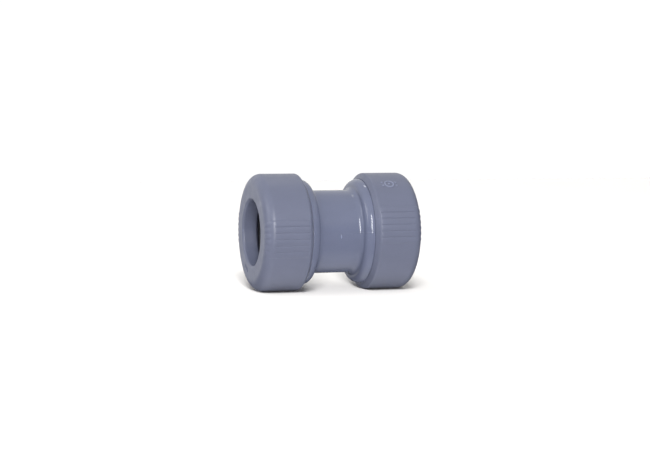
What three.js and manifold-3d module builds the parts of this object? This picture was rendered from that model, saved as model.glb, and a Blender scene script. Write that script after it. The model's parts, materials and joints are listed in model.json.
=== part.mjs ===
// Straight push to connect coupler for 22 mm water pipe, with two screw-on retaining caps.
// Millimetres. +X runs along the pipe, +Z is up, and the origin is the centre of the coupler.
// Both sides are alike: each is described for the right side, where distances grow along +X,
// and the left side is the same set of pieces turned half a turn about Z.
import * as THREE from "three";
import { mergeVertices } from "three/addons/utils/BufferGeometryUtils.js";
import Module from "manifold-3d";

const wasm = await Module();
wasm.setup();

// ---- Driving dimensions. A distance named ..._X is measured from the coupler's centre. ----
const PIPE_R = 11;
const HALF_LENGTH = 27.6;
const GAP = 0.3; // clearance between pieces that touch on the real fitting
const SEGMENTS = 36; // facets round every turned piece

// Coupler body
const WAIST_R = 14.2;
const SHOULDER_X = 7.9; // where the S-shaped shoulder turns from hollow to round
const SHOULDER_HOLLOW_R = 1.4; // how far the hollow rises from the waist
const SHOULDER_HOLLOW_LENGTH = 2.1; // how far the hollow reaches along the axis
const SHOULDER_ROUND_LENGTH = 2.6;
const COLLAR_R = 18;
const COLLAR_END_X = 10.6;
const BODY_END_X = 16.8;
const BODY_CHAMFER = 0.5;
const SOCKET_R = PIPE_R + 0.15;
const PIPE_STOP_R = 9.4;
const PIPE_STOP_X = 1; // half the pipe stop's thickness
const SEAT_R = 14.3; // counterbore that holds the O-ring
const SEAT_X = 12.2;

// Thread between body and cap
const PITCH = 2.5;
const THREAD_TURNS = 1.5;
const THREAD_START_X = 12;
const THREAD_FADE = 0.12; // part of the thread's length over which each end rises from nothing
const BODY_THREAD = { rootR: 16.2, tipR: 17.3, embed: 0.4, rootWidth: 1.25, tipWidth: 0.55 };
const CAP_THREAD = { rootR: 17.65, tipR: 16.55, embed: 0.4, rootWidth: 1.25, tipWidth: 0.55 };

// O-ring
const ORING_SECTION_R = 1.55;
const ORING_GAP = 0.35; // the O-ring stands a little clear of its seat until a pipe squeezes it
const ORING_R = SEAT_R - ORING_GAP - ORING_SECTION_R;
const ORING_X = SEAT_X + ORING_GAP + ORING_SECTION_R;

// Spacer washer: a flange outside the body's end, and a spigot that reaches in to the O-ring
const SPACER_BORE_R = PIPE_R + 0.35;
const SPACER_SPIGOT_R = SEAT_R - ORING_GAP;
const SPACER_FLANGE_R = 15.6;
const SPACER_FLANGE_X = BODY_END_X + GAP;
const SPACER_FLANGE_THICKNESS = 1.2;
const SPACER_SPIGOT_X = ORING_X + ORING_SECTION_R + GAP;
const SPACER_END_X = SPACER_FLANGE_X + SPACER_FLANGE_THICKNESS;

// Retaining cap
const CAP_R = 20;
const CAP_INNER_END_X = COLLAR_END_X + GAP;
const CAP_INNER_END_R = 18.2;
const CAP_SHOULDER_X = 12.1; // where the chamfer at the inner end meets the cylinder
const CAP_SHOULDER_EASE = 0.3; // the broken corner between them
const CAP_EDGE_LENGTH = 3.45; // the rounded outer edge, along the axis
const CAP_EDGE_DEPTH = 4; // the rounded outer edge, towards the axis
const MOUTH_R = PIPE_R + 0.2;
const MOUTH_LIP = 0.8;
const LIP_INNER_X = 22.5; // inner end of the plain bore behind the mouth
const CONE_X = 18.7;
const CONE_WIDE_R = 15.1;
const CONE_NARROW_R = 13;

// Grip ribs on the cap: two groups, opposite each other
const RIB_GROUPS = 2;
const RIBS_PER_GROUP = 6;
const RIB_PITCH_DEG = 6.2;
const RIB_HEIGHT = 0.2;
const RIB_WIDTH = 1.7;
const RIB_SUNK = 1; // how deep a rib's root lies in the cap's wall
const RIB_CREST_END_DEG = 50; // where the crest ends on the rounded edge, and where it has faded out:
const RIB_FADE_END_DEG = 35; // 90 is at the cylinder and 0 at the end face

// Grab wedge: a split ring that slides in the cap's cone
const WEDGE_X = SPACER_END_X + GAP;
const WEDGE_END_X = 21.7;
const WEDGE_CONE_GAP = 0.62;
const WEDGE_SPLIT = 2;

// Grip teeth: blades that lean inwards, so that a pipe slides in but can't pull out
const TEETH = 8;
const TOOTH_ROOT = { x: 20.5, r: 12.3 };
const TOOTH_TIP = { x: 19.5, r: PIPE_R - 0.15 };
const TOOTH_THICKNESS = 0.5;
const TOOTH_WIDTH = 2.6;
const TOOTH_BEVEL = 0.5; // how far back the sharp tip is ground
const SLOT_OVERRUN = 1; // how far a tooth's slot is cut past its tip, out through the wedge's bore

// ---- Materials ----
const plastic = (color, roughness) =>
  new THREE.MeshStandardMaterial({ color, roughness, metalness: 0 });
const bodyPlastic = plastic(0x7b8199, 0.25);
const capPlastic = plastic(0x7a8094, 0.45);
const acetal = plastic(0x34363c, 0.4);
const washerNylon = plastic(0xd9d6c8, 0.5);
const rubber = plastic(0x17171a, 0.75);
const steel = new THREE.MeshStandardMaterial({ color: 0xb9bcc0, roughness: 0.3, metalness: 1 });

// ---- Shape helpers ----

// Points along an ellipse's arc, from one angle to another, as [x, radius] pairs.
function arc(centreX, centreR, alongX, alongR, fromDeg, toDeg, steps) {
  return Array.from({ length: steps + 1 }, (_, i) => {
    const angle = THREE.MathUtils.degToRad(fromDeg + ((toDeg - fromDeg) * i) / steps);
    return [centreX + alongX * Math.cos(angle), centreR + alongR * Math.sin(angle)];
  });
}

// A closed outline of [x, radius] pairs turned round the X axis. A facet faces straight down,
// so the fitting lies still on a table.
function turned(outline) {
  const closed = [...outline, outline[0]].map(([x, r]) => new THREE.Vector2(r, x));
  const geometry = new THREE.LatheGeometry(closed, SEGMENTS, Math.PI / SEGMENTS);
  return geometry.rotateZ(-Math.PI / 2);
}

function toSolid(geometry) {
  const bare = new THREE.BufferGeometry().setAttribute("position", geometry.getAttribute("position"));
  if (geometry.index) bare.setIndex(geometry.index);
  const merged = mergeVertices(bare);
  return new wasm.Manifold(
    new wasm.Mesh({
      numProp: 3,
      vertProperties: new Float32Array(merged.attributes.position.array),
      triVerts: new Uint32Array(merged.index.array),
    }),
  );
}

function toGeometry(solid) {
  const { vertProperties, triVerts } = solid.getMesh();
  return new THREE.BufferGeometry()
    .setAttribute("position", new THREE.BufferAttribute(vertProperties, 3))
    .setIndex(new THREE.BufferAttribute(triVerts, 1));
}

// A right-hand helical ridge on a cylinder, with its ends faded into the wall. Its root is sunk
// into the wall by embed, and its tip stands out, or in on an inside thread.
function helicalRidge({ rootR, tipR, embed, rootWidth, tipWidth }, startX, phase) {
  const steps = Math.round(THREAD_TURNS * SEGMENTS);
  const outward = Math.sign(tipR - rootR);
  const baseR = rootR - outward * embed;
  const sunkTipR = rootR - (outward * embed) / 2;
  const corners = [];
  for (let i = 0; i <= steps; i++) {
    const along = i / steps;
    const rise = Math.min(1, along / THREAD_FADE, (1 - along) / THREAD_FADE);
    const angle = phase + along * THREAD_TURNS * 2 * Math.PI;
    const x = startX + along * THREAD_TURNS * PITCH;
    const crestR = THREE.MathUtils.lerp(sunkTipR, tipR, rise);
    const section = [
      [x - rootWidth / 2, baseR],
      [x - tipWidth / 2, crestR],
      [x + tipWidth / 2, crestR],
      [x + rootWidth / 2, baseR],
    ];
    for (const [px, r] of section) corners.push(px, r * Math.cos(angle), r * Math.sin(angle));
  }
  const faces = [];
  const quad = (a, b, c, d) => {
    const ordered = outward > 0 ? [a, b, c, a, c, d] : [a, c, b, a, d, c];
    faces.push(...ordered);
  };
  for (let i = 0; i < steps; i++) {
    for (let side = 0; side < 4; side++) {
      const next = (side + 1) % 4;
      quad(4 * i + side, 4 * i + 4 + side, 4 * i + 4 + next, 4 * i + next);
    }
  }
  const last = 4 * steps;
  quad(0, 1, 2, 3);
  quad(last + 3, last + 2, last + 1, last);
  return new THREE.BufferGeometry()
    .setAttribute("position", new THREE.Float32BufferAttribute(corners, 3))
    .setIndex(faces);
}

// An outline of [x, radius] pairs as a plate of the given width, standing on the XY plane.
function plate(outline, width) {
  const shape = new THREE.Shape(outline.map(([x, r]) => new THREE.Vector2(x, r)));
  const geometry = new THREE.ExtrudeGeometry(shape, { depth: width, bevelEnabled: false });
  return geometry.translate(0, 0, -width / 2);
}

// ---- Coupler body ----
function bodyGeometry() {
  const shoulderR = WAIST_R + SHOULDER_HOLLOW_R;
  const hollowX = SHOULDER_X - SHOULDER_HOLLOW_LENGTH;
  const roundX = SHOULDER_X + SHOULDER_ROUND_LENGTH;
  const half = [
    ...arc(hollowX, shoulderR, SHOULDER_HOLLOW_LENGTH, SHOULDER_HOLLOW_R, -90, 0, 3),
    ...arc(roundX, shoulderR, SHOULDER_ROUND_LENGTH, COLLAR_R - shoulderR, 180, 90, 4).slice(1),
    [COLLAR_END_X, COLLAR_R],
    [COLLAR_END_X, BODY_THREAD.rootR],
    [BODY_END_X - BODY_CHAMFER, BODY_THREAD.rootR],
    [BODY_END_X, BODY_THREAD.rootR - BODY_CHAMFER],
    [BODY_END_X, SEAT_R],
    [SEAT_X, SEAT_R],
    [SEAT_X, SOCKET_R],
    [PIPE_STOP_X, SOCKET_R],
    [PIPE_STOP_X, PIPE_STOP_R],
  ];
  const mirrored = half.map(([x, r]) => [-x, r]).reverse();
  const ridge = toSolid(helicalRidge(BODY_THREAD, THREAD_START_X, 0));
  const leftRidge = toSolid(helicalRidge(BODY_THREAD, THREAD_START_X, 0).rotateZ(Math.PI));
  return toGeometry(toSolid(turned([...mirrored, ...half])).add(ridge).add(leftRidge));
}

// ---- Retaining cap ----

// The cap's rounded outer edge, grown outwards by an amount, from the cylinder towards the end face.
function capEdge(grown, toDeg, steps) {
  const centreX = HALF_LENGTH - CAP_EDGE_LENGTH;
  const centreR = CAP_R - CAP_EDGE_DEPTH;
  return arc(centreX, centreR, CAP_EDGE_LENGTH + grown, CAP_EDGE_DEPTH + grown, 90, toDeg, steps);
}

// A rib follows the cap's outline a little above it, and fades out on the rounded edge.
function ribGeometry() {
  const crest = capEdge(RIB_HEIGHT, RIB_CREST_END_DEG, 3);
  const [fadeX, fadeR] = capEdge(0, RIB_FADE_END_DEG, 1)[1];
  const outline = [
    [CAP_SHOULDER_X, CAP_R - RIB_SUNK],
    [fadeX - RIB_SUNK, fadeR - RIB_SUNK],
    [fadeX, fadeR],
    ...crest.reverse(),
    [CAP_SHOULDER_X, CAP_R + RIB_HEIGHT],
  ];
  return plate(outline, RIB_WIDTH);
}

function capGeometry(gripAngle) {
  const outline = [
    [CAP_INNER_END_X, CAP_THREAD.rootR],
    [CAP_INNER_END_X, CAP_INNER_END_R],
    [CAP_SHOULDER_X - CAP_SHOULDER_EASE, CAP_R - CAP_SHOULDER_EASE],
    [CAP_SHOULDER_X, CAP_R],
    ...capEdge(0, 0, 5),
    [HALF_LENGTH, MOUTH_R + MOUTH_LIP],
    ...arc(HALF_LENGTH - MOUTH_LIP, MOUTH_R + MOUTH_LIP, MOUTH_LIP, -MOUTH_LIP, 0, 90, 2).slice(1),
    [LIP_INNER_X, MOUTH_R],
    [LIP_INNER_X, CONE_NARROW_R],
    [CONE_X, CONE_WIDE_R],
    [CONE_X, SPACER_FLANGE_R + GAP],
    [SPACER_FLANGE_X, SPACER_FLANGE_R + GAP],
    [SPACER_FLANGE_X, CAP_THREAD.rootR],
  ];
  // The cap's thread lies half a pitch along from the body's, in its grooves.
  const ridge = helicalRidge(CAP_THREAD, THREAD_START_X, Math.PI);
  let cap = toSolid(turned(outline)).add(toSolid(ridge));
  for (let group = 0; group < RIB_GROUPS; group++) {
    for (let i = 0; i < RIBS_PER_GROUP; i++) {
      const step = i - (RIBS_PER_GROUP - 1) / 2;
      const angle = gripAngle + (360 / RIB_GROUPS) * group + RIB_PITCH_DEG * step;
      cap = cap.add(toSolid(ribGeometry().rotateX(THREE.MathUtils.degToRad(angle))));
    }
  }
  return toGeometry(cap);
}

// ---- Pieces inside the cap ----
const oRingGeometry = () =>
  new THREE.TorusGeometry(ORING_R, ORING_SECTION_R, 10, SEGMENTS)
    .rotateY(Math.PI / 2)
    .translate(ORING_X, 0, 0);

const spacerGeometry = () =>
  turned([
    [SPACER_SPIGOT_X, SPACER_BORE_R],
    [SPACER_SPIGOT_X, SPACER_SPIGOT_R],
    [SPACER_FLANGE_X, SPACER_SPIGOT_R],
    [SPACER_FLANGE_X, SPACER_FLANGE_R],
    [SPACER_END_X, SPACER_FLANGE_R],
    [SPACER_END_X, SPACER_BORE_R],
  ]);

// The outline of a tooth's blade, or of its slot when it is grown by a clearance. The blade ends
// in a point at the pipe; the slot runs on out of the ring's bore.
function toothOutline(clearance) {
  const leanX = TOOTH_ROOT.x - TOOTH_TIP.x;
  const leanR = TOOTH_ROOT.r - TOOTH_TIP.r;
  const length = Math.hypot(leanX, leanR);
  const [alongX, alongR] = [leanX / length, leanR / length];
  const half = TOOTH_THICKNESS / 2 + clearance;
  const at = (distance, aside) => [
    TOOTH_TIP.x + alongX * distance - alongR * aside,
    TOOTH_TIP.r + alongR * distance + alongX * aside,
  ];
  const root = [at(length + clearance, half), at(length + clearance, -half)];
  const isSlot = clearance > 0;
  const inner = isSlot
    ? [at(-SLOT_OVERRUN, -half), at(-SLOT_OVERRUN, half)]
    : [at(TOOTH_BEVEL, -half), at(0, half)];
  return [...inner, ...root];
}

function wedgeGeometry() {
  const slope = (CONE_WIDE_R - CONE_NARROW_R) / (LIP_INNER_X - CONE_X);
  const outerR = (x) => CONE_WIDE_R - slope * (x - CONE_X) - WEDGE_CONE_GAP;
  let wedge = toSolid(
    turned([
      [WEDGE_X, SPACER_BORE_R],
      [WEDGE_X, outerR(WEDGE_X)],
      [WEDGE_END_X, outerR(WEDGE_END_X)],
      [WEDGE_END_X, SPACER_BORE_R],
    ]),
  );
  const split = new THREE.BoxGeometry(HALF_LENGTH, CAP_R, WEDGE_SPLIT).translate(WEDGE_X, CAP_R / 2, 0);
  wedge = wedge.subtract(toSolid(split));
  for (let i = 0; i < TEETH; i++) {
    const slot = plate(toothOutline(GAP), TOOTH_WIDTH + 2 * GAP);
    wedge = wedge.subtract(toSolid(slot.rotateX(toothAngle(i))));
  }
  return toGeometry(wedge);
}

// The teeth are evenly spaced, with the ring's split midway between two of them.
const toothAngle = (i) => ((i + 0.5) * 2 * Math.PI) / TEETH;

// ---- Assembly ----
function named(name, geometry, material) {
  const mesh = new THREE.Mesh(geometry, material);
  mesh.name = name;
  return mesh;
}

function sideGroup(side, gripAngle) {
  const group = new THREE.Group();
  group.add(
    named(`${side}_cap`, capGeometry(gripAngle), capPlastic),
    named(`${side}_o_ring`, oRingGeometry(), rubber),
    named(`${side}_spacer_washer`, spacerGeometry(), washerNylon),
    named(`${side}_grab_wedge`, wedgeGeometry(), acetal),
  );
  for (let i = 0; i < TEETH; i++) {
    const tooth = named(`${side}_grip_tooth_${i + 1}`, plate(toothOutline(0), TOOTH_WIDTH), steel);
    tooth.rotation.x = toothAngle(i);
    group.add(tooth);
  }
  return group;
}

// How far each cap's grip ribs stand turned from level, where its thread has come up tight.
const RIGHT_GRIP_ANGLE = -10.6;
const LEFT_GRIP_ANGLE = -2.1;

const fitting = new THREE.Group();
fitting.add(named("coupler_body", bodyGeometry(), bodyPlastic));
fitting.add(sideGroup("right", RIGHT_GRIP_ANGLE));
const left = sideGroup("left", LEFT_GRIP_ANGLE);
left.rotation.z = Math.PI;
fitting.add(left);

export default fitting;
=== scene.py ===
"""Straight push to connect pipe coupler: the finished look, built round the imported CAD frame.

Shapes are worked out in millimetres for the right side, where distances grow along +X. The left side
is the same set of pieces turned half a turn about Z. Each piece stands for one CAD node.
"""
import json
import math

import bpy
import numpy as np
from mathutils import Matrix, Vector


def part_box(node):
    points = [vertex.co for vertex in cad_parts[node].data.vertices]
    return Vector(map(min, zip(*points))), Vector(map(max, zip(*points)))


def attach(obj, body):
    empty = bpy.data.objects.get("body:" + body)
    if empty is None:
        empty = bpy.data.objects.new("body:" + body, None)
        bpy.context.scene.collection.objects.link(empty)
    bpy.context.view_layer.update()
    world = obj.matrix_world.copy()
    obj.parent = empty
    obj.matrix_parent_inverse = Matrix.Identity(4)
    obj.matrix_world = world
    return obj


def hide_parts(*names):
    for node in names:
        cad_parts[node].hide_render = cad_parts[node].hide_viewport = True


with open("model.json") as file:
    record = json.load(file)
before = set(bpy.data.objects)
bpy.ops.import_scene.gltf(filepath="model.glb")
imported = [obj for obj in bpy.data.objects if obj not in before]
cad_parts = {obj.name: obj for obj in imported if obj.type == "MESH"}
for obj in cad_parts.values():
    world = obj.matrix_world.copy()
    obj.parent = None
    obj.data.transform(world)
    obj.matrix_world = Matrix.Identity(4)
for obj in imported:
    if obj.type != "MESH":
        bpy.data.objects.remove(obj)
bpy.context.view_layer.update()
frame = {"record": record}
NODE_BODY = {node: body for body, nodes in frame["record"]["behaviour"]["bodies"].items() for node in nodes}

MM = 0.001
SIDES = ("right", "left")
CAD_FACETS = 36  # the CAD solids are turned with this many flats


def along(node):
    """Where a CAD node of the right side starts and ends along X, in millimetres."""
    low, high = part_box(node)
    return low.x / MM, high.x / MM


def outer_radius(node):
    """The true outer radius of a turned CAD node, whose flats cut the circle a little short."""
    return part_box(node)[1].z / MM / math.cos(math.pi / CAD_FACETS)


# ---- Driving dimensions, in millimetres ----
BODY_END = along("coupler_body")[1]
CAP_START, CAP_END = along("right_cap")
WASHER_START, WASHER_END = along("right_spacer_washer")
WEDGE_START, WEDGE_END = along("right_grab_wedge")
RING_START, RING_END = along("right_o_ring")
COLLAR_R = outer_radius("coupler_body")
CAP_R = outer_radius("right_cap")
FLANGE_R = outer_radius("right_spacer_washer")
PIPE_R = 11.0
GAP = 0.3  # between the washer's flange and its seat in the cap
TIGHT_GAP = 0.03  # a tight cap all but touches the collar

# Coupler body
WAIST_R = 14.2
SHOULDER_X = 7.9  # where the S-shaped shoulder turns from hollow to round
SHOULDER_HOLLOW_R = 1.4  # how far the hollow rises from the waist
SHOULDER_HOLLOW_LENGTH = 2.1  # how far it reaches along the axis
SHOULDER_ROUND_LENGTH = 2.85
COLLAR_END = CAP_START - TIGHT_GAP
COLLAR_FILLET = 0.12
SOCKET_R = PIPE_R + 0.15
STOP_R = 9.4
STOP_X = 1.0
SEAT_R = 14.3
SEAT_X = 12.2
PARTING_ANGLE = 177.5  # degrees from +Y towards +Z, as every angle here
PARTING_HEIGHT = 0.06
PARTING_HALF = 0.7  # degrees
PARTING_FADE = 0.2  # the length before the collar's fillet over which the line fades out
GATE_ANGLE = 182.6
GATE_NUB = (0.45, 1.0)  # half its length along the axis, and half its length round the waist
GATE_HEIGHT = 0.35
GATE_STEEPNESS = 1.2
GATE_REACH = 1.3  # how far from the middle of the waist the fine rows for it go

# Thread between body and cap
BODY_ROOT_R = 16.2
CAP_ROOT_R = 17.65
THREAD_HEIGHT = 1.1
THREAD_PITCH = 2.5
THREAD_TURNS = 1.5
THREAD_START = 12.0
THREAD_CREST = 0.24  # half widths
THREAD_FOOT = 0.56
THREAD_FADE = 0.15  # turns over which each end rises from nothing

# Retaining cap
CAP_INNER_END_R = 18.2
CAP_SHOULDER_X = 12.1
CAP_EDGE_LENGTH = 3.45
CAP_EDGE_DEPTH = 4.0
MOUTH_R = PIPE_R + 0.2
MOUTH_LIP = 0.8
LIP_INNER_X = 22.5
CONE_X = 18.7
CONE_WIDE_R = 15.1
CONE_NARROW_R = 13.0
FLANGE_SEAT_R = FLANGE_R + GAP
FLANGE_THICKNESS = 1.2
FLANGE_X = WASHER_END - FLANGE_THICKNESS

# Grip ribs: two groups on each cap, opposite each other, broad and low with narrow grooves between
RIBS = 6
RIB_PITCH = 6.2  # degrees
RIB_HALF = 3.0  # degrees
RIB_HEIGHT = 0.16
RIB_POWER = 7  # a rib is flat, with a narrow groove at each side
RIB_EDGE_HEIGHT = 0.18  # on the rounded edge the ribs are soft waves
RIB_RISE = 0.6  # the length over which the ribs rise from the cap's shoulder
RIB_FADE = (6, 24)  # degrees up the rounded edge, where a rib has faded out and where it is whole
RIB_WAVE = (40, 72)  # between which the ribs turn from waves into one flat band
RIB_GROOVE = (78, 90)  # between which the grooves open in that band

# Small marks on the cap: a raised ring with a dot between two pairs of dashes on the cylinder, and
# three sunk bars in the end face
MARK_HEIGHT = 0.26
MARK_HALF = 0.3  # half the width of a stroke
MARK_BLUR = 0.24
SIDE_MARK = (18.0, 133.6)  # distance from the centre, and degrees past the grip angle
SIDE_MARK_DASHES = (-2.45, 2.45)
SIDE_MARK_RING_R = 1.5
SIDE_MARK_DOT_R = 0.4
SIDE_MARK_ROWS = (-0.85, 0.85)
SIDE_MARK_HALF = 0.4  # half a dash's length
SIDE_MARK_REACH = 3  # how far along the axis the whole mark goes from its centre
FACE_MARK = (13.9, 248.0)  # radius, and degrees past the grip angle
FACE_MARK_BARS = (-1.5, 0.0, 1.5)
FACE_MARK_HALF = 0.7
FACE_MARK_DEPTH = 0.2
# How much paler the painted highlight on proud marks is: the gate's nub and the cap's raised marks are
# coloured paler to stand in for the glint of light on them
PAINTED_HIGHLIGHT_PALENESS = 1.7
GRIP_ANGLE = {"right": -10.6, "left": -2.1}  # the middle of one group of ribs

# Pieces inside the cap
INNER_BORE_R = PIPE_R + 0.35
SPIGOT_R = SEAT_R - 0.35
WEDGE_CONE_GAP = 0.62
WEDGE_SPLIT = 2.0
SPLIT_CUTTER_R = (9, 17)
CUTTER_OVERRUN = 1.0  # how far the cutters run out past the wedge
FLASH_HEIGHT = 0.03  # of the O-ring's mould
FLASH_HALF = 0.3
TEETH = 8
TOOTH_ROOT = Vector((20.5, 12.3))
TOOTH_TIP = Vector((19.5, PIPE_R - 0.15))
TOOTH_THICKNESS = 0.5
TOOTH_WIDTH = 2.6
TOOTH_BEVEL = 0.5
TOOTH_FILLETS = (0.1, 0.015, 0.06, 0.06)
TOOTH_SHARES = (0.15, 0.45, 0.7, 0.9, 0.975, 1)  # where its sections are, from its middle to one side
TOOTH_SIDE_SHRINK = 0.9  # the size of the last section, which eases the blade's side edges
TOOTH_NICK = 0.25  # how far its tip's corners are rounded back
TOOTH_NICK_SHARE = 0.2  # over this share of half its width
SLOT_FIT = 0.03
SHARP_ANGLE = 35  # degrees; cut edges sharper than this are shaded sharp

# How finely the meshes are divided: the longest step along an outline, in millimetres
LONG_STEP = 1.2
THREAD_STEP = 0.08
GATE_STEP = 0.1
MARK_STEP = 0.2
WASHER_STEP = 0.8
WEDGE_STEP = 1.0
EDGE_STEP = 0.06  # and how close to a stretch's ends its first and last rows are
HOLLOW_ARC_STEPS = 12
ROUND_ARC_STEPS = 18
CAP_EDGE_ARC_STEPS = 28
LIP_ARC_STEPS = 7
O_RING_ARC_STEPS = 44
ON_SURFACE = 0.1  # a point this close to a radius counts as being on that surface
ON_FACE = 0.01  # and this close to the cap's end, as being on its end face

# And in degrees round the axis: the usual step, and (half width, step) of each finer zone
TURN_STEP = 2.5
O_RING_TURN_STEP = 3.0
PARTING_ZONE = (1.5, 0.25)
GATE_ZONE = (7.5, 0.25)  # it takes in the near parting line too
GATE_ZONE_SHIFT = -1.5
GROOVE_ZONE = (0.8, 0.2)
SIDE_MARK_ZONE = (7, 0.6)
FACE_MARK_ZONE = (11, 0.6)


# ---- Outlines: closed rings of (x, radius) points that run towards +X along the outside ----
def ease(share):
    """0 to 1 with a soft start and a soft end."""
    share = np.clip(share, 0, 1)
    return share * share * (3 - 2 * share)


def eased_between(value, low, high):
    """0 below low and 1 above high, eased between them."""
    return float(ease((value - low) / (high - low)))


def arc(centre, along_x, along_r, start, end, steps):
    """Points on an ellipse round a centre, from one angle to another in degrees."""
    angles = np.radians(np.linspace(start, end, steps + 1))
    return [(centre[0] + along_x * math.cos(a), centre[1] + along_r * math.sin(a)) for a in angles]


def rounded(corners, steps=5):
    """Rounds each corner that is given as (x, radius, fillet); a plain (x, radius) stays as it is."""
    points = []
    for i, corner in enumerate(corners):
        here = Vector(corner[:2])
        if len(corner) == 2:
            points.append(tuple(here))
            continue
        before = (Vector(corners[i - 1][:2]) - here).normalized()
        after = (Vector(corners[(i + 1) % len(corners)][:2]) - here).normalized()
        half = before.angle(after) / 2
        sweep = math.pi - 2 * half
        centre = here + (before + after).normalized() * corner[2] / math.sin(half)
        start = here + before * corner[2] / math.tan(half) - centre
        end = here + after * corner[2] / math.tan(half) - centre
        for k in range(steps + 1):
            share = k / steps
            from_start = start * math.sin((1 - share) * sweep)
            from_end = end * math.sin(share * sweep)
            points.append(tuple(centre + (from_start + from_end) / math.sin(sweep)))
    return points


def divided(points, longest):
    """Splits long stretches evenly, with a row close to each end. longest(x, r) is the most for a step."""
    out = []
    for here, there in zip(points, points[1:] + points[:1]):
        a, b = Vector(here), Vector(there)
        length = (b - a).length
        out.append(here)
        if length < 4 * EDGE_STEP:
            continue
        middle = (a + b) / 2
        between = length - 2 * EDGE_STEP
        inner = math.ceil(between / longest(*middle))
        for k in range(inner + 1):
            out.append(tuple(a.lerp(b, (EDGE_STEP + between * k / inner) / length)))
    return out


# ---- Mesh building ----
def make_piece(name, side, vertices, faces):
    """A smooth mesh from vertices in millimetres, turned half a turn about Z for the left side."""
    placed = np.asarray(vertices, float) * MM
    if side == "left":
        placed[:, :2] *= -1
    mesh = bpy.data.meshes.new(name)
    mesh.from_pydata(placed.tolist(), [], faces)
    mesh.polygons.foreach_set("use_smooth", [True] * len(mesh.polygons))
    mesh.update()
    piece = bpy.data.objects.new(name, mesh)
    bpy.context.scene.collection.objects.link(piece)
    return piece


def even_angles(step):
    """Angles round the circle in even steps, in degrees."""
    return np.arange(0, 360, step)


def spaced_angles(zones):
    """Angles round the circle in degrees: the usual steps, but finer in each (centre, half, fine) zone."""
    angles = even_angles(TURN_STEP)
    for centre, half, fine in zones:
        inside = centre + np.linspace(-half, half, round(2 * half / fine) + 1)
        angles = np.concatenate([angles[apart(angles, centre) > half + fine], inside % 360])
    return np.sort(angles)


def turned(name, side, outline, angles, relief=None):
    """Turns a closed outline round the X axis. relief(x, r, angles) is how far the surface stands out
    from the outline at each angle."""
    points = np.array(outline)
    tangent = np.roll(points, -1, axis=0) - np.roll(points, 1, axis=0)
    tangent /= np.linalg.norm(tangent, axis=1, keepdims=True)
    height = np.zeros((len(points), len(angles)))
    if relief:
        height = np.array([relief(x, r, angles) for x, r in points])
    xs = points[:, :1] - tangent[:, 1:] * height
    radii = points[:, 1:] + tangent[:, :1] * height
    turn = np.radians(angles)
    grid = np.stack([xs, radii * np.cos(turn), radii * np.sin(turn)], axis=-1)
    here = np.arange(height.size).reshape(height.shape)
    below = np.roll(here, -1, axis=0)
    quads = np.stack([here, np.roll(here, -1, axis=1), np.roll(below, -1, axis=1), below], axis=-1)
    return make_piece(name, side, grid.reshape(-1, 3), quads.reshape(-1, 4).tolist())


def prism(name, side, sections):
    """A solid through closed (x, y, z) sections that all have the same number of points."""
    count = len(sections[0])
    faces = [tuple(range(count))[::-1], tuple(range(len(sections) * count - count, len(sections) * count))]
    for s in range(len(sections) - 1):
        for i in range(count):
            a, b = s * count + i, s * count + (i + 1) % count
            faces.append((a, b, b + count, a + count))
    return make_piece(name, side, [point for section in sections for point in section], faces)


def turned_about_x(point, angle):
    """A point (x, radius, sideways) of a blade that stands on +Y, swung round the X axis."""
    x, r, aside = point
    c, s = math.cos(angle), math.sin(angle)
    return (x, r * c - aside * s, r * s + aside * c)


def thread(x, angles):
    """A right-hand thread's share of its full height at a distance along X, for each angle."""
    rise = np.zeros(len(angles))
    for lap in range(math.ceil(THREAD_TURNS)):
        turns = (angles % 360) / 360 + lap
        fade = ease(np.minimum(turns, THREAD_TURNS - turns) / THREAD_FADE)
        away = np.abs(x - THREAD_START - THREAD_PITCH * turns)
        rise = np.maximum(rise, fade * ease((THREAD_FOOT - away) / (THREAD_FOOT - THREAD_CREST)))
    return rise


def past(angles, centre):
    """How far each angle is past a centre, the short way round, in degrees."""
    return (angles - centre + 180) % 360 - 180


def apart(angles, centre):
    """How far each angle is from a centre on either side, in degrees."""
    return np.abs(past(angles, centre))


# ---- Coupler body ----
def body_outline():
    """Waist, shoulders, collars and threaded ends outside; sockets, seats and the pipe stop inside."""
    shoulder_r = WAIST_R + SHOULDER_HOLLOW_R
    round_r = COLLAR_R - shoulder_r
    hollow_centre = (SHOULDER_X - SHOULDER_HOLLOW_LENGTH, shoulder_r)
    round_centre = (SHOULDER_X + SHOULDER_ROUND_LENGTH, shoulder_r)
    half = [
        (GATE_REACH, WAIST_R),
        *arc(hollow_centre, SHOULDER_HOLLOW_LENGTH, SHOULDER_HOLLOW_R, -90, 0, HOLLOW_ARC_STEPS),
        *arc(round_centre, SHOULDER_ROUND_LENGTH, round_r, 180, 90, ROUND_ARC_STEPS)[1:],
        (COLLAR_END, COLLAR_R, COLLAR_FILLET),
        (COLLAR_END, BODY_ROOT_R, 0.15),
        (BODY_END, BODY_ROOT_R, 0.5),
        (BODY_END, SEAT_R, 0.25),
        (SEAT_X, SEAT_R, 0.15),
        (SEAT_X, SOCKET_R, 0.2),
        (STOP_X, SOCKET_R, 0.15),
        (STOP_X, STOP_R, 0.25),
    ]
    mirrored = [(-corner[0], *corner[1:]) for corner in reversed(half)]

    def longest(x, r):
        if abs(x) > COLLAR_END and abs(r - BODY_ROOT_R) < ON_SURFACE:
            return THREAD_STEP
        return GATE_STEP if abs(x) < GATE_REACH and r > SOCKET_R else LONG_STEP

    return divided(rounded(half + mirrored), longest)


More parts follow.
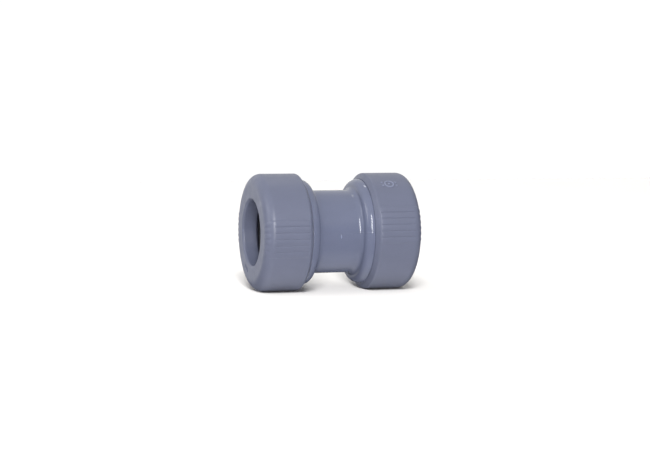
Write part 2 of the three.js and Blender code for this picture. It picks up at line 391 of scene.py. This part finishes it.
def body_relief(x, r, angles):
    """The threads, the mould's parting line on both sides, and the gate's mark."""
    if abs(x) > COLLAR_END:
        if r < BODY_ROOT_R - ON_SURFACE:
            return np.zeros(len(angles))
        return THREAD_HEIGHT * thread(abs(x), angles if x > 0 else 180 - angles)
    if r < WAIST_R - ON_SURFACE:
        return np.zeros(len(angles))
    seam = np.minimum(apart(angles, PARTING_ANGLE), apart(angles, PARTING_ANGLE + 180))
    fade = ease((COLLAR_END - COLLAR_FILLET - abs(x)) / PARTING_FADE)
    relief = PARTING_HEIGHT * ease(1 - seam / PARTING_HALF) * fade
    if abs(x) < GATE_REACH:
        round_waist = WAIST_R * np.radians(apart(angles, GATE_ANGLE))
        away = np.hypot(x / GATE_NUB[0], round_waist / GATE_NUB[1])
        relief += GATE_HEIGHT * ease(GATE_STEEPNESS * (1 - away))
    return relief


def make_body():
    zones = [(PARTING_ANGLE + 180, *PARTING_ZONE), (GATE_ANGLE + GATE_ZONE_SHIFT, *GATE_ZONE)]
    angles = spaced_angles(zones)
    return turned("body_moulding", "right", body_outline(), angles, body_relief)


# ---- Retaining cap ----
def cap_outline():
    """A rounded edge and a lipped mouth at the end; the wedge's cone, the washer's seat and the thread's
    bore inside."""
    edge = (CAP_END - CAP_EDGE_LENGTH, CAP_R - CAP_EDGE_DEPTH)
    lip = (CAP_END - MOUTH_LIP, MOUTH_R + MOUTH_LIP)
    corners = [
        (CAP_START, CAP_ROOT_R, 0.12),
        (CAP_START, CAP_INNER_END_R, 0.12),
        (CAP_SHOULDER_X, CAP_R, 0.8),
        (SIDE_MARK[0] - SIDE_MARK_REACH, CAP_R),
        (SIDE_MARK[0] + SIDE_MARK_REACH, CAP_R),
        *arc(edge, CAP_EDGE_LENGTH, CAP_EDGE_DEPTH, 90, 0, CAP_EDGE_ARC_STEPS),
        *arc(lip, MOUTH_LIP, -MOUTH_LIP, 0, 90, LIP_ARC_STEPS),
        (LIP_INNER_X, MOUTH_R, 0.2),
        (LIP_INNER_X, CONE_NARROW_R, 0.1),
        (CONE_X, CONE_WIDE_R, 0.1),
        (CONE_X, FLANGE_SEAT_R, 0.1),
        (FLANGE_X, FLANGE_SEAT_R, 0.15),
        (FLANGE_X, CAP_ROOT_R, 0.15),
    ]

    def longest(x, r):
        on_side_mark = abs(x - SIDE_MARK[0]) < SIDE_MARK_REACH and r > CAP_R - ON_SURFACE
        if on_side_mark or x > CAP_END - ON_FACE:
            return MARK_STEP
        return THREAD_STEP if x < FLANGE_X and abs(r - CAP_ROOT_R) < ON_SURFACE else LONG_STEP

    return divided(rounded(corners), longest)


def stroke(outside, height):
    """How far a mark stands out at a distance outside its edge."""
    return height * ease(0.5 - outside / MARK_BLUR)


def bar(across, along_bar, half_length):
    """How far outside a straight bar a point is."""
    return np.maximum(np.abs(across) - MARK_HALF, np.abs(along_bar) - half_length)


def cap_marks(x, r, angles, grip_angle):
    """The height of the marks on the cylinder and on the end face."""
    if x > CAP_END - ON_FACE:
        round_face = np.radians(past(angles, grip_angle + FACE_MARK[1])) * FACE_MARK[0]
        bars = [bar(round_face - place, r - FACE_MARK[0], FACE_MARK_HALF) for place in FACE_MARK_BARS]
        return stroke(np.min(bars, axis=0), -FACE_MARK_DEPTH)
    if abs(x - SIDE_MARK[0]) > SIDE_MARK_REACH or r < CAP_R - ON_SURFACE:
        return np.zeros(len(angles))
    aside = x - SIDE_MARK[0]
    round_side = np.radians(past(angles, grip_angle + SIDE_MARK[1])) * CAP_R
    strokes = []
    for place in SIDE_MARK_DASHES:
        strokes += [bar(round_side - row, aside - place, SIDE_MARK_HALF) for row in SIDE_MARK_ROWS]
    from_centre = np.hypot(aside, round_side)
    strokes.append(np.abs(from_centre - SIDE_MARK_RING_R) - MARK_HALF)
    strokes.append(from_centre - SIDE_MARK_DOT_R)
    return stroke(np.min(strokes, axis=0), MARK_HEIGHT)


def cap_relief(grip_angle):
    """The cap's inside thread, half a pitch along from the body's, its grip ribs and its marks."""
    first = grip_angle - RIB_PITCH * (RIBS - 1) / 2
    ribs = [first + 180 * group + RIB_PITCH * i for group in range(2) for i in range(RIBS)]

    def relief(x, r, angles):
        if x < FLANGE_X and r < CAP_ROOT_R + ON_SURFACE:
            return THREAD_HEIGHT * thread(x, angles - 180)
        past_edge = max(0, x - CAP_END + CAP_EDGE_LENGTH) / CAP_EDGE_LENGTH
        up_edge = math.degrees(math.atan2((r - CAP_R + CAP_EDGE_DEPTH) / CAP_EDGE_DEPTH, past_edge))
        inside = r < MOUTH_R + MOUTH_LIP or (r < CAP_R - ON_SURFACE and not past_edge)
        if inside or x < CAP_SHOULDER_X:
            return np.zeros(len(angles))
        marks = cap_marks(x, r, angles, grip_angle)
        if r < CAP_R - CAP_EDGE_DEPTH:
            return marks
        fade = ease((x - CAP_SHOULDER_X) / RIB_RISE) * eased_between(up_edge, *RIB_FADE)
        over_edge = 1 - eased_between(up_edge, *RIB_WAVE)
        grooved = eased_between(up_edge, *RIB_GROOVE)
        height = RIB_HEIGHT + (RIB_EDGE_HEIGHT - RIB_HEIGHT) * over_edge
        away = np.minimum(np.min([apart(angles, rib) for rib in ribs], axis=0) / RIB_HALF, 1)
        in_group = np.minimum(apart(angles, grip_angle), apart(angles, grip_angle + 180))
        past_group = np.clip((in_group - RIB_PITCH * (RIBS - 1) / 2) / RIB_HALF, 0, 1)
        band = 1 - past_group ** RIB_POWER
        flat = band + (1 - away ** RIB_POWER - band) * grooved
        wave = np.cos(away * math.pi / 2) ** 2
        return marks + height * fade * (flat + (wave - flat) * over_edge)

    return relief


def make_cap(side):
    """A cap, with finer columns at its grooves and its marks."""
    grip = GRIP_ANGLE[side]
    from_grip = [RIB_PITCH * (i - RIBS / 2) for i in range(RIBS + 1)]
    grooves = [grip + 180 * group + angle for group in range(2) for angle in from_grip]
    marks = [(grip + SIDE_MARK[1], *SIDE_MARK_ZONE), (grip + FACE_MARK[1], *FACE_MARK_ZONE)]
    angles = spaced_angles([(groove, *GROOVE_ZONE) for groove in grooves] + marks)
    return turned(f"{side}_cap_moulding", side, cap_outline(), angles, cap_relief(grip))


# ---- Pieces inside the cap ----
def make_o_ring(side):
    """A rubber ring with the thin flash of its mould round its outside and its bore."""
    section = (RING_END - RING_START) / 2
    middle = (RING_START + RING_END) / 2
    centre_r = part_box("right_o_ring")[1].z / MM - section
    circle = arc((middle, centre_r), section, section, 180, -180, O_RING_ARC_STEPS)[:-1]

    def relief(x, r, angles):
        return np.full(len(angles), FLASH_HEIGHT * float(ease(1 - abs(x - middle) / FLASH_HALF)))

    return turned(f"{side}_o_ring_rubber", side, circle, even_angles(O_RING_TURN_STEP), relief)


def make_washer(side):
    """A ring with a flange under the cap and a spigot in the body's seat."""
    corners = [
        (WASHER_START, INNER_BORE_R, 0.15),
        (WASHER_START, SPIGOT_R, 0.2),
        (FLANGE_X, SPIGOT_R, 0.08),
        (FLANGE_X, FLANGE_R, 0.12),
        (WASHER_END, FLANGE_R, 0.2),
        (WASHER_END, INNER_BORE_R, 0.2),
    ]
    outline = divided(rounded(corners), lambda x, r: WASHER_STEP)
    return turned(f"{side}_washer_moulding", side, outline, even_angles(TURN_STEP))


def tooth_corners(clearance):
    """A tooth's outline, or its slot's when it is grown by a clearance and run out through the bore."""
    lean = (TOOTH_ROOT - TOOTH_TIP).normalized()
    aside = Vector((-lean.y, lean.x))
    half = TOOTH_THICKNESS / 2 + clearance
    past_tip = -CUTTER_OVERRUN if clearance else 0.0
    bevelled = past_tip if clearance else TOOTH_BEVEL
    return [
        TOOTH_TIP + lean * bevelled - aside * half,
        TOOTH_TIP + lean * past_tip + aside * half,
        TOOTH_ROOT + lean * clearance + aside * half,
        TOOTH_ROOT + lean * clearance - aside * half,
    ]


def tooth_angle(i):
    """The teeth are evenly spaced, with the wedge's split midway between two of them."""
    return (i + 0.5) * 2 * math.pi / TEETH


def make_tooth(side, i):
    """A stamped blade: its ground edge follows the pipe, and its corners and sides are eased."""
    lean = (TOOTH_ROOT - TOOTH_TIP).normalized()
    length = (TOOTH_ROOT - TOOTH_TIP).length
    corners = [(*corner, fillet) for corner, fillet in zip(tooth_corners(0), TOOTH_FILLETS)]
    outline = [Vector(point) for point in rounded(corners, 3)]
    middle = sum(outline, Vector((0, 0))) / len(outline)
    half = TOOTH_WIDTH / 2
    sections = []
    for share in [-share for share in reversed(TOOTH_SHARES)] + list(TOOTH_SHARES):
        aside = share * half
        shrink = TOOTH_SIDE_SHRINK if abs(share) == 1 else 1
        rise = aside * aside / (2 * PIPE_R)  # the pipe falls away to each side of the blade's middle
        nick = TOOTH_NICK * eased_between(abs(share), 1 - TOOTH_NICK_SHARE, 1)
        section = []
        for point in outline:
            near_tip = 1 - min(1, (point - TOOTH_TIP).dot(lean) / length)
            moved = middle + (point - middle) * shrink + lean * near_tip * (nick - rise)
            section.append(turned_about_x((moved.x, moved.y, aside), tooth_angle(i)))
        sections.append(section)
    return prism(f"{side}_tooth_blade_{i + 1}", side, sections)


def wedge_outer_r(x):
    """The wedge's outside is parallel to the cap's cone."""
    slope = (CONE_WIDE_R - CONE_NARROW_R) / (LIP_INNER_X - CONE_X)
    return CONE_WIDE_R - slope * (x - CONE_X) - WEDGE_CONE_GAP


def cut_away(piece, cutters):
    """Cuts solids out of a piece for good, and shades it smooth except at its sharp edges."""
    for cutter in cutters:
        cut = piece.modifiers.new("cut", "BOOLEAN")
        cut.object = cutter
        cut.operation = "DIFFERENCE"
        cut.solver = "EXACT"
    bpy.context.view_layer.update()
    evaluated = piece.evaluated_get(bpy.context.evaluated_depsgraph_get())
    result = bpy.data.meshes.new_from_object(evaluated)
    piece.modifiers.clear()
    piece.data = result
    for cutter in cutters:
        bpy.data.objects.remove(cutter)
    result.polygons.foreach_set("use_smooth", [True] * len(result.polygons))
    result.set_sharp_from_angle(angle=math.radians(SHARP_ANGLE))


def make_wedge(side):
    """A split ring with a slot for each tooth."""
    corners = [
        (WEDGE_START, INNER_BORE_R, 0.25),
        (WEDGE_START, wedge_outer_r(WEDGE_START), 0.3),
        (WEDGE_END, wedge_outer_r(WEDGE_END), 0.3),
        (WEDGE_END, INNER_BORE_R, 0.3),
    ]
    outline = divided(rounded(corners, 4), lambda x, r: WEDGE_STEP)
    wedge = turned(f"{side}_wedge_moulding", side, outline, even_angles(TURN_STEP))
    start, end = WEDGE_START - CUTTER_OVERRUN, WEDGE_END + CUTTER_OVERRUN
    low, high = SPLIT_CUTTER_R
    half = WEDGE_SPLIT / 2
    split = [[(start, low, z), (start, high, z), (end, high, z), (end, low, z)] for z in (-half, half)]
    cutters = [prism("split_cutter", side, split)]
    reach = TOOTH_WIDTH / 2 + SLOT_FIT
    for i in range(TEETH):
        slot = []
        for aside in (-reach, reach):
            slot.append([turned_about_x((*c, aside), tooth_angle(i)) for c in tooth_corners(SLOT_FIT)])
        cutters.append(prism("slot_cutter", side, slot))
    cut_away(wedge, cutters)
    return wedge


# ---- Materials ----
BODY_COLOUR = 0x676D84
CAP_COLOUR = 0x656A7F
WASHER_COLOUR = 0xD9D6C8
# Painted shade: the wedge is coloured dark so that it reads as the shade deep inside the cap's mouth; such
# wedges are usually pale
WEDGE_PAINTED_SHADE_COLOUR = 0x34363C
RUBBER_COLOUR = 0x1B1B1E
STEEL_COLOUR = 0xBFC2C6
MOST = (0.3, 0.7)  # most of a noise's values lie between these
PLASTIC_WORN = (0.515, 0.6)  # pointiness where an edge starts to look rubbed, and where it is fully so
STEEL_WORN = (0.53, 0.65)

# Patterns: their sizes across and their depths, in millimetres. The pairs named in the plural are the
# noise values where a pattern starts to show and where it is full.
SWIRL_SIZE = 7.0
SWIRL_STRETCH = (0.5, 1, 1)
SPECKLE_SIZE = 0.3
SPECKLES = (0.35, 0.8)
GLOSS_SIZE = 2.2
PEEL_SIZE = 2.5
PEEL_DEPTH = 0.012
SCRATCH_SIZE = 9.0
SCRATCH_STRETCH = (1, 28, 28)
SCRATCH_TURNS = ((0.3, 0.2, 1.1), (1.2, 0.5, -0.4))
SCRATCHES = (0.66, 0.72)
SCRATCH_DEPTH = 0.001
BLOOM_SIZE = 3.0
BLOOMS = (0.45, 0.75)
RUBBER_GRAIN = (0.12, 0.006)  # size and depth
RUBBER_UNEVENNESS = (1.2, 0.01)  # size and depth
ROLLING_SIZE = 1.0
ROLLING_STRETCH = (1, 1, 14)
PIT_SIZE = 0.18
PITS = (0.6, 0.75)
STEEL_DEPTH = 0.006
FLOOR_PATCH_SIZE = 300.0
# Where proud() paints a highlight: on the gate's nub, and on the cap's raised marks
GATE_HIGHLIGHT_MASK = (GATE_REACH, WAIST_R + 0.1, WAIST_R + 0.25)  # each (reach, low, high) is for proud()
SIDE_MARK_HIGHLIGHT_MASK = (CAP_END, CAP_R + RIB_HEIGHT, CAP_R + MARK_HEIGHT)


def linear(colour):
    """A screen colour 0xRRGGBB as the linear values that shaders use."""
    parts = [(colour >> shift & 255) / 255 for shift in (16, 8, 0)]
    return [c / 12.92 if c <= 0.04045 else ((c + 0.055) / 1.055) ** 2.4 for c in parts]


def shade(colour, factor):
    """A colour made darker or paler, with full alpha."""
    return [min(1, c * factor) for c in colour] + [1]


def add(tree, kind, inputs, **settings):
    """Adds a node. Each input is a value, or another node's output to link."""
    node = tree.nodes.new(kind)
    for name, value in settings.items():
        setattr(node, name, value)
    for name, value in inputs.items():
        if isinstance(value, bpy.types.NodeSocket):
            tree.links.new(value, node.inputs[name])
        else:
            node.inputs[name].default_value = value
    return node


def noise(tree, place, size, detail=3.0, distortion=0.0):
    """Soft random patches about size millimetres across."""
    inputs = {"Vector": place, "Scale": 1 / (size * MM), "Detail": detail, "Distortion": distortion}
    return add(tree, "ShaderNodeTexNoise", inputs).outputs[0]


def remap(tree, value, low, high, to_low, to_high):
    """Takes low to to_low and high to to_high, evenly between them and no further."""
    inputs = {"Value": value, "From Min": low, "From Max": high, "To Min": to_low, "To Max": to_high}
    return add(tree, "ShaderNodeMapRange", inputs).outputs[0]


def stretched(tree, place, scale, turn=(0, 0, 0)):
    """A place turned and scaled, so that a pattern on it runs one way."""
    inputs = {"Vector": place, "Scale": scale, "Rotation": turn}
    return add(tree, "ShaderNodeMapping", inputs).outputs[0]


def blend_colours(tree, share, first, second):
    """The first colour where the share is 0, and the second where it is 1."""
    node = tree.nodes.new("ShaderNodeMix")
    node.data_type = "RGBA"
    for socket, value in ((node.inputs[0], share), (node.inputs[6], first), (node.inputs[7], second)):
        if isinstance(value, bpy.types.NodeSocket):
            tree.links.new(value, socket)
        else:
            socket.default_value = value
    return node.outputs[2]


def total(tree, first, second):
    return add(tree, "ShaderNodeMath", {0: first, 1: second}, operation="ADD").outputs[0]


def bumped(tree, layers):
    """Stacks (height, distance in millimetres) layers into one normal."""
    normal = None
    for height, distance in layers:
        inputs = {"Height": height, "Distance": distance * MM, "Strength": 1.0}
        if normal:
            inputs["Normal"] = normal
        normal = add(tree, "ShaderNodeBump", inputs).outputs[0]
    return normal


def hairlines(tree, place, turn):
    """Thin, faint scratches that run one way: 1 in a scratch, 0 elsewhere."""
    streaks = noise(tree, stretched(tree, place, SCRATCH_STRETCH, turn), SCRATCH_SIZE, detail=2.0)
    return remap(tree, streaks, *SCRATCHES, 0.0, 1.0)


def proud(tree, place, reach, low, high):
    """How proud a point stands, within a reach of the centre along X: 0 at one radius, 1 at another."""
    x, y, z = add(tree, "ShaderNodeSeparateXYZ", {"Vector": place}).outputs
    away = add(tree, "ShaderNodeMath", {0: x}, operation="ABSOLUTE").outputs[0]
    inside = add(tree, "ShaderNodeMath", {0: away, 1: reach * MM}, operation="LESS_THAN").outputs[0]
    spoke = add(tree, "ShaderNodeCombineXYZ", {"Y": y, "Z": z}).outputs[0]
    radius = add(tree, "ShaderNodeVectorMath", {0: spoke}, operation="LENGTH").outputs["Value"]
    return remap(tree, radius, low * MM, high * MM, 0.0, inside)


def start_material(name):
    """A new material, its node tree, its surface shader and the place on the object."""
    material = bpy.data.materials.new(name)
    material.use_nodes = True
    tree = material.node_tree
    place = add(tree, "ShaderNodeTexCoord", {}).outputs["Object"]
    return material, tree, tree.nodes["Principled BSDF"], place


def moulded_plastic(name, colour, roughness, grain_size, grain_depth, wear, marks=None):
    """Injection-moulded plastic: pigment swirls, a moulded grain, a slight orange peel, hairline
    scratches, and edges that handling has rubbed a little paler. marks is a (reach, low, high) for
    proud marks with a painted highlight: they are coloured paler to stand in for the light they catch."""
    material, tree, surface, place = start_material(name)
    swirl = noise(tree, stretched(tree, place, SWIRL_STRETCH), SWIRL_SIZE, detail=4.0, distortion=0.8)
    speckle = noise(tree, place, SPECKLE_SIZE, detail=2.0)
    scratches = total(tree, *[hairlines(tree, place, turn) for turn in SCRATCH_TURNS])
    pointiness = add(tree, "ShaderNodeNewGeometry", {}).outputs["Pointiness"]
    worn = remap(tree, pointiness, *PLASTIC_WORN, 0.0, wear)
    swirled = remap(tree, swirl, *MOST, 0, 1)
    base = blend_colours(tree, swirled, shade(colour, 0.975), shade(colour, 1.025))
    base = blend_colours(tree, remap(tree, speckle, *SPECKLES, 0, 0.12), base, shade(colour, 1.35))
    base = blend_colours(tree, worn, base, shade(colour, 1.5))
    # Painted highlight: proud marks are coloured paler, standing in for the light they catch
    if marks:
        base = blend_colours(tree, proud(tree, place, *marks), base, shade(colour, PAINTED_HIGHLIGHT_PALENESS))
    base = blend_colours(tree, remap(tree, scratches, 0, 1, 0, 0.04), base, shade(colour, 1.5))
    tree.links.new(base, surface.inputs["Base Color"])
    gloss = noise(tree, place, GLOSS_SIZE, detail=4.0)
    uneven = remap(tree, gloss, *MOST, roughness - 0.04, roughness + 0.05)
    rough = total(tree, uneven, remap(tree, scratches, 0, 1, 0.0, 0.05))
    tree.links.new(rough, surface.inputs["Roughness"])
    grain = noise(tree, place, grain_size, detail=2.0)
    peel = noise(tree, place, PEEL_SIZE, detail=1.0)
    normal = bumped(tree, [(peel, PEEL_DEPTH), (grain, grain_depth), (scratches, -SCRATCH_DEPTH)])
    tree.links.new(normal, surface.inputs["Normal"])
    return material


def rubber(name):
    """Black EPDM with a grey bloom and a fine matt grain."""
    material, tree, surface, place = start_material(name)
    colour = linear(RUBBER_COLOUR)
    bloom = noise(tree, place, BLOOM_SIZE, detail=5.0, distortion=0.6)
    greyed = remap(tree, bloom, *BLOOMS, 0, 0.5)
    base = blend_colours(tree, greyed, shade(colour, 0.9), shade(colour, 2.6))
    tree.links.new(base, surface.inputs["Base Color"])
    tree.links.new(remap(tree, bloom, *MOST, 0.45, 0.7), surface.inputs["Roughness"])
    grain = noise(tree, place, RUBBER_GRAIN[0], detail=3.0)
    uneven = noise(tree, place, RUBBER_UNEVENNESS[0], detail=2.0)
    normal = bumped(tree, [(grain, RUBBER_GRAIN[1]), (uneven, RUBBER_UNEVENNESS[1])])
    tree.links.new(normal, surface.inputs["Normal"])
    return material


def steel(name):
    """Stamped stainless steel with rolling lines, small pits and bright rubbed edges."""
    material, tree, surface, place = start_material(name)
    colour = linear(STEEL_COLOUR)
    lines = noise(tree, stretched(tree, place, ROLLING_STRETCH), ROLLING_SIZE, detail=4.0)
    pits = remap(tree, noise(tree, place, PIT_SIZE, detail=3.0), *PITS, 0, 1)
    pointiness = add(tree, "ShaderNodeNewGeometry", {}).outputs["Pointiness"]
    rolled = remap(tree, lines, *MOST, 0, 1)
    base = blend_colours(tree, rolled, shade(colour, 0.85), shade(colour, 1.05))
    base = blend_colours(tree, remap(tree, pits, 0, 1, 0, 0.5), base, shade(colour, 0.45))
    worn = remap(tree, pointiness, *STEEL_WORN, 0, 0.8)
    base = blend_colours(tree, worn, base, shade(colour, 1.3))
    tree.links.new(base, surface.inputs["Base Color"])
    surface.inputs["Metallic"].default_value = 1.0
    tree.links.new(remap(tree, lines, *MOST, 0.2, 0.38), surface.inputs["Roughness"])
    normal = bumped(tree, [(lines, STEEL_DEPTH), (pits, -STEEL_DEPTH)])
    tree.links.new(normal, surface.inputs["Normal"])
    return material


MATERIALS = {
    "body_plastic": moulded_plastic(
        "body_plastic",
        linear(BODY_COLOUR),
        roughness=0.14,
        grain_size=0.5,
        grain_depth=0.0012,
        wear=0.25,
        # a painted highlight on the gate's nub
        marks=GATE_HIGHLIGHT_MASK,
    ),
    "cap_plastic": moulded_plastic(
        "cap_plastic",
        linear(CAP_COLOUR),
        roughness=0.37,
        grain_size=0.22,
        grain_depth=0.004,
        wear=0.25,
        # a painted highlight on the cap's raised marks
        marks=SIDE_MARK_HIGHLIGHT_MASK,
    ),
    "seal_rubber": rubber("seal_rubber"),
    "washer_nylon": moulded_plastic(
        "washer_nylon",
        linear(WASHER_COLOUR),
        roughness=0.4,
        grain_size=0.3,
        grain_depth=0.003,
        wear=0.1,
    ),
    # Its dark colour is painted shade for the inside of the mouth
    "wedge_acetal": moulded_plastic(
        "wedge_acetal",
        linear(WEDGE_PAINTED_SHADE_COLOUR),
        roughness=0.35,
        grain_size=0.3,
        grain_depth=0.003,
        wear=0.2,
    ),
    "tooth_steel": steel("tooth_steel"),
}


# ---- Assembly ----
def fit(piece, node, slot):
    """The piece stands for a CAD node, moves with its body, and takes its finish from a slot."""
    piece.data.materials.clear()
    piece.data.materials.append(MATERIALS[slot])
    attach(piece, NODE_BODY[node])
    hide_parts(node)


fit(make_body(), "coupler_body", "body_plastic")
for side in SIDES:
    fit(make_cap(side), f"{side}_cap", "cap_plastic")
    fit(make_o_ring(side), f"{side}_o_ring", "seal_rubber")
    fit(make_washer(side), f"{side}_spacer_washer", "washer_nylon")
    fit(make_wedge(side), f"{side}_grab_wedge", "wedge_acetal")
    for i in range(TEETH):
        fit(make_tooth(side, i), f"{side}_grip_tooth_{i + 1}", "tooth_steel")


# ---- Studio ----
CAMERA_DISTANCE = 0.6
CAMERA_AZIMUTH = -17.8
CAMERA_ELEVATION = 5.1
CAMERA_ROLL = 0.54
CAMERA_LENS = 96.6
SENSOR_WIDTH = 36
CLIP_START = 0.01
AIM_LEFT = 0.0012  # the camera looks a little to the left of the fitting's centre, and a little under it
AIM_DOWN = 0.0004
FLOOR_HALF = 0.6  # half its side, in metres
FLOOR_TONE = (0.6, 0.62)
FLOOR_COLOUR = (1, 0.98, 0.96, 1)
HORIZON_TOP = (0.14, 0.5)  # sines of the elevations where the horizon starts to brighten, and where it has
BACKDROP_BRIGHTNESS = 1.02
HORIZON_BRIGHTNESS = 0.08
WALL_EDGE = (0.5, 0.8)  # how far a direction leans backwards where the wall starts, and where it is full
WALL_FOOT = (-0.28, -0.1)  # and the sines of the elevations between which it rises out of the ground
WALL_BRIGHTNESS = 0.85
RIGHT_DIMMING = 0.7  # the share of the brightness that is left on the far right
ROOM_BRIGHTNESS = 0.85
GROUND_TOP = (0.65, 0.92)  # sines of the depressions where the ground starts to brighten, and where it has
GROUND_FAR = (0.5, 0.9)  # how far a direction leans backwards where the ground dims, and where it is dark
GROUND_BRIGHTNESS = 0.9


def directions(azimuth, elevation):
    """The rightward, upward and backward directions of a camera at an angle round the fitting."""
    a, e = math.radians(azimuth), math.radians(elevation)
    right = Vector((math.cos(a), math.sin(a), 0))
    back = Vector((math.sin(a) * math.cos(e), -math.cos(a) * math.cos(e), math.sin(e)))
    return right, back.cross(right), back


def facing(right, up, back, location):
    """The matrix of a camera or lamp at a location, with these directions."""
    matrix = Matrix((right, up, back)).transposed().to_4x4()
    matrix.translation = location
    return matrix


def make_camera():
    right, up, back = directions(CAMERA_AZIMUTH, CAMERA_ELEVATION)
    target = -right * AIM_LEFT - up * AIM_DOWN
    roll = math.radians(CAMERA_ROLL)
    tilted = right * math.cos(roll) + up * math.sin(roll)
    data = bpy.data.cameras.new("camera")
    data.lens = CAMERA_LENS
    data.sensor_width = SENSOR_WIDTH
    data.clip_start = CLIP_START
    camera = bpy.data.objects.new("camera", data)
    camera.matrix_world = facing(tilted, back.cross(tilted), back, target + back * CAMERA_DISTANCE)
    bpy.context.scene.collection.objects.link(camera)
    bpy.context.scene.camera = camera


def collected(name, pieces):
    """A collection of pieces for light linking, which isn't part of the scene itself."""
    collection = bpy.data.collections.new(name)
    for piece in pieces:
        collection.objects.link(piece)
    return collection


def make_softbox(name, azimuth, elevation, distance, width, height, brightness, only=None, shaded_by=()):
    """An area light of a given brightness, the same whatever its size, that faces the fitting. It may
    light only one object, and be shaded only by some."""
    right, up, back = directions(azimuth, elevation)
    data = bpy.data.lights.new(name, "AREA")
    data.shape = "RECTANGLE"
    data.size = width
    data.size_y = height
    data.energy = brightness * math.pi * width * height
    lamp = bpy.data.objects.new(name, data)
    lamp.matrix_world = facing(right, up, back, back * distance)
    lamp.visible_camera = False
    bpy.context.scene.collection.objects.link(lamp)
    if only:
        lamp.light_linking.receiver_collection = collected(f"{name}_receivers", [only])
        lamp.light_linking.blocker_collection = collected(f"{name}_blockers", shaded_by)


def make_floor():
    """A plain pale surface under the caps, with a very slight unevenness of tone."""
    level = -CAP_R * MM
    mesh = bpy.data.meshes.new("floor")
    corners = [(x * FLOOR_HALF, y * FLOOR_HALF, level) for x, y in ((-1, -1), (1, -1), (1, 1), (-1, 1))]
    mesh.from_pydata(corners, [], [(0, 1, 2, 3)])
    floor = bpy.data.objects.new("floor", mesh)
    bpy.context.scene.collection.objects.link(floor)
    material, tree, surface, place = start_material("floor_paper")
    tone = remap(tree, noise(tree, place, FLOOR_PATCH_SIZE), *MOST, *FLOOR_TONE)
    tree.links.new(blend_colours(tree, tone, (0, 0, 0, 1), FLOOR_COLOUR), surface.inputs["Base Color"])
    surface.inputs["Roughness"].default_value = 0.9
    surface.inputs["Specular IOR Level"].default_value = 0.0
    mesh.materials.append(material)
    floor.visible_glossy = False  # the fitting mirrors the world's ground instead
    return floor


def make_world():
    """A pale room above a dark horizon, with a pale wall behind the table and pale ground under it. All
    of it is dimmer to the right. What the camera sees of it directly is plain white."""
    world = bpy.data.worlds.new("studio")
    world.use_nodes = True
    tree = world.node_tree
    direction = add(tree, "ShaderNodeTexCoord", {}).outputs["Generated"]
    rightward, away, height = add(tree, "ShaderNodeSeparateXYZ", {"Vector": direction}).outputs
    room = remap(tree, height, *HORIZON_TOP, HORIZON_BRIGHTNESS, ROOM_BRIGHTNESS)
    wall = remap(tree, away, *WALL_EDGE, 0, WALL_BRIGHTNESS)
    wall = remap(tree, height, *WALL_FOOT, 0, wall)
    room = add(tree, "ShaderNodeMath", {0: room, 1: wall}, operation="MAXIMUM").outputs[0]
    near = remap(tree, away, *GROUND_FAR, GROUND_BRIGHTNESS, 0)
    ground = remap(tree, height, -GROUND_TOP[0], -GROUND_TOP[1], 0, near)
    room = add(tree, "ShaderNodeMath", {0: room, 1: ground}, operation="MAXIMUM").outputs[0]
    dimming = remap(tree, rightward, 0, 1, 1, RIGHT_DIMMING)
    room = add(tree, "ShaderNodeMath", {0: room, 1: dimming}, operation="MULTIPLY").outputs[0]
    seen = add(tree, "ShaderNodeLightPath", {}).outputs["Is Camera Ray"]
    strength = remap(tree, seen, 0, 1, room, BACKDROP_BRIGHTNESS)
    tree.links.new(strength, tree.nodes["Background"].inputs["Strength"])
    tree.nodes["Background"].inputs["Color"].default_value = (1, 1, 1, 1)
    bpy.context.scene.world = world


make_camera()
floor = make_floor()
make_world()
caps = [bpy.data.objects[f"{side}_cap_moulding"] for side in ("left", "right")]
make_softbox(
    "key_light", azimuth=-15, elevation=20, distance=1.0, width=0.13, height=0.6, brightness=26.0
)
make_softbox(
    "left_light", azimuth=-85, elevation=25, distance=1.5, width=0.8, height=0.8, brightness=2.2
)
make_softbox(
    "overhead_light", azimuth=162, elevation=62, distance=1.5, width=0.2, height=0.1, brightness=9.0
)
make_softbox(
    "floor_light",
    azimuth=-18,
    elevation=35,
    distance=20.0,
    width=5.3,
    height=5.3,
    brightness=70.0,
    only=floor,
    shaded_by=caps,
)
bpy.context.scene.view_settings.view_transform = "Standard"
